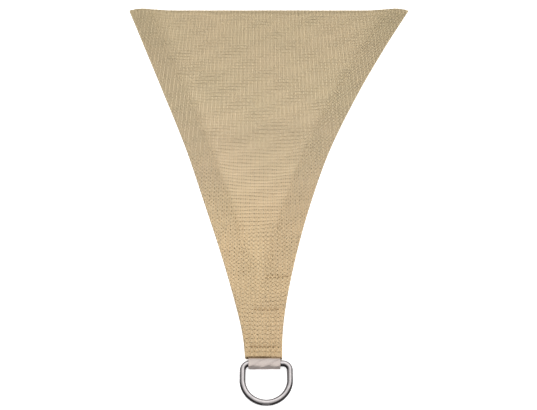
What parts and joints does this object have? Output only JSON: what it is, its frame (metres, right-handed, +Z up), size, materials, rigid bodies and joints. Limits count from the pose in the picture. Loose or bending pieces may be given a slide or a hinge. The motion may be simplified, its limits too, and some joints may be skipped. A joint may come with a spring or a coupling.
{
  "type": "shade sail corner",
  "caption": "Corner of a knitted shade sail: hemmed mesh cloth tapering to a webbing loop that holds a welded steel D-ring.",
  "frame": {"origin": "centre of the whole corner's box, on the surface that it lies on", "axes": "+Y from the ring towards the cut edge, +Z up from the surface, +X to the right of someone who looks along +Y"},
  "size_m": [0.351, 0.4938, 0.0108],
  "materials": {
    "knit_cloth": "matte knitted shade cloth, sand",
    "webbing": "flat woven webbing, pale grey with a rosy tone",
    "ring_steel": "polished stainless steel"
  },
  "bodies": {
    "root": {"sail_cloth": "knit_cloth", "webbing_loop": "webbing", "d_ring": "ring_steel"}
  },
  "joints": []
}
